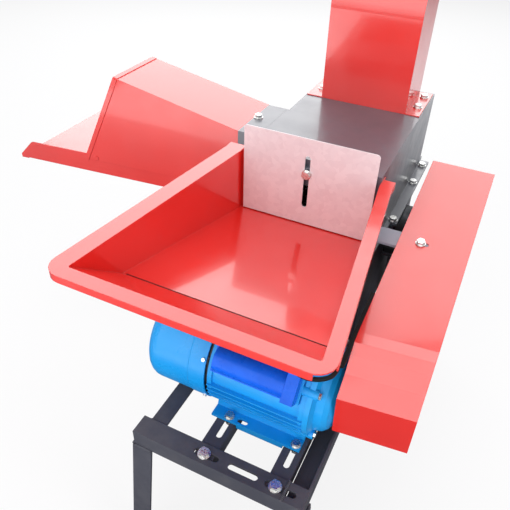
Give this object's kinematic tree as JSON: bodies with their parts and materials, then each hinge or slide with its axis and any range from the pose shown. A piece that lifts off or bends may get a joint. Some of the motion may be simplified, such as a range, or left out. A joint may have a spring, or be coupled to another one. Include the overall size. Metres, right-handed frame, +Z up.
{
  "type": "fodder chopper",
  "caption": "Electric fodder chopper with knife disc and swing-hammer mill, grain hopper, grass tray with hood, discharge chute, belt drive and angle-iron stand",
  "frame": {"origin": "on the floor, in the middle of the four anchor holes of the foot plates", "axes": "+X along the motor and rotor shafts towards the belt guard, +Y away from the grain hopper towards the chute, +Z up"},
  "size_m": [1.0255, 1.0367, 1.1002],
  "materials": {
    "frame_charcoal": "charcoal spray paint on rolled angle",
    "casing_grey": "dark grey spray paint on sheet",
    "red_paint": "glossy red powder coat on sheet",
    "motor_blue": "blue enamel on cast and pressed metal",
    "cap_blue": "glossy deep blue moulding",
    "zinc": "zinc-plated fasteners",
    "galvanised": "galvanised sheet and bar",
    "steel": "bare machined and ground steel",
    "cast_iron": "dark painted castings",
    "black_plastic": "moulded black plastic",
    "rubber": "black rubber belts and cord"
  },
  "bodies": {
    "base": {"front_rail": "frame_charcoal", "rear_rail": "frame_charcoal", "left_rail": "frame_charcoal", "right_rail": "frame_charcoal", "cross_rail": "frame_charcoal", "legs": "frame_charcoal", "slide_rails": "frame_charcoal", "slide_rail_bolts": "zinc", "motor_frame": "motor_blue", "drive_end_shield": "motor_blue", "fan_end_shield": "black_plastic", "fan_cover": "motor_blue", "motor_bearings": "steel", "capacitor_cover": "cap_blue", "terminal_box": "motor_blue", "terminal_lid": "motor_blue", "cable_gland": "black_plastic", "motor_screws": "zinc", "motor_foot_bolts": "zinc", "v_belts": "rubber", "belt_guard": "red_paint", "guard_brackets": "galvanised", "guard_bolts": "zinc", "lower_casing": "casing_grey", "upper_casing": "casing_grey", "casing_bolts": "zinc", "inlet_collar": "casing_grey", "feed_tray": "red_paint", "feed_hood": "red_paint", "feed_bolts": "zinc", "hood_rivets": "red_paint", "hopper": "red_paint", "gate_bolt": "zinc", "chute": "red_paint", "flap_pin": "zinc", "fixed_knife": "steel", "screen": "steel", "meal_spout": "red_paint", "bearings": "cast_iron", "bearing_pedestals": "frame_charcoal", "bearing_bolts": "zinc", "power_cord": "rubber", "cord_coil": "rubber", "cord_plug": "black_plastic"},
    "rotor": {"rotor_shaft": "steel", "knife_disc": "steel", "knives": "steel", "knife_bolts": "steel", "hammer_plates": "steel", "hammer_pins": "steel", "rotor_pulley": "cast_iron"},
    "motor_rotor": {"motor_shaft": "steel", "motor_fan": "black_plastic", "motor_pulley": "cast_iron"},
    "gate": {"feed_gate": "galvanised"},
    "flap": {"chute_flap": "red_paint"},
    "hammer_set_a": {"hammers_a": "steel"},
    "hammer_set_b": {"hammers_b": "steel"},
    "hammer_set_c": {"hammers_c": "steel"},
    "hammer_set_d": {"hammers_d": "steel"}
  },
  "joints": [
    {"name": "rotor_spin", "type": "hinge", "parent": "base", "child": "rotor", "pos_m": [0, 0.165, 0.555], "axis": [1, 0, 0], "continuous": true},
    {"name": "motor_spin", "type": "hinge", "parent": "base", "child": "motor_rotor", "pos_m": [0, -0.239, 0.466], "axis": [1, 0, 0], "continuous": true},
    {"name": "hammer_swing_a", "type": "hinge", "parent": "rotor", "child": "hammer_set_a", "pos_m": [0, 0.23217, 0.62218], "axis": [1, 0, 0], "continuous": true},
    {"name": "hammer_swing_b", "type": "hinge", "parent": "rotor", "child": "hammer_set_b", "pos_m": [0, 0.09782, 0.62218], "axis": [1, 0, 0], "continuous": true},
    {"name": "hammer_swing_c", "type": "hinge", "parent": "rotor", "child": "hammer_set_c", "pos_m": [0, 0.09782, 0.48783], "axis": [1, 0, 0], "continuous": true},
    {"name": "hammer_swing_d", "type": "hinge", "parent": "rotor", "child": "hammer_set_d", "pos_m": [0, 0.23217, 0.48783], "axis": [1, 0, 0], "continuous": true},
    {"name": "gate_slide", "type": "slide", "parent": "base", "child": "gate", "axis": [0, 0, 1], "range_m": [0, 0.058]},
    {"name": "flap_hinge", "type": "hinge", "parent": "base", "child": "flap", "pos_m": [0, 0.41827, 1.08844], "axis": [1, 0, 0], "range_deg": [-55, 25]}
  ],
  "couplings": [
    {"joint": "motor_spin", "follows": "rotor_spin", "ratio": 1}
  ]
}
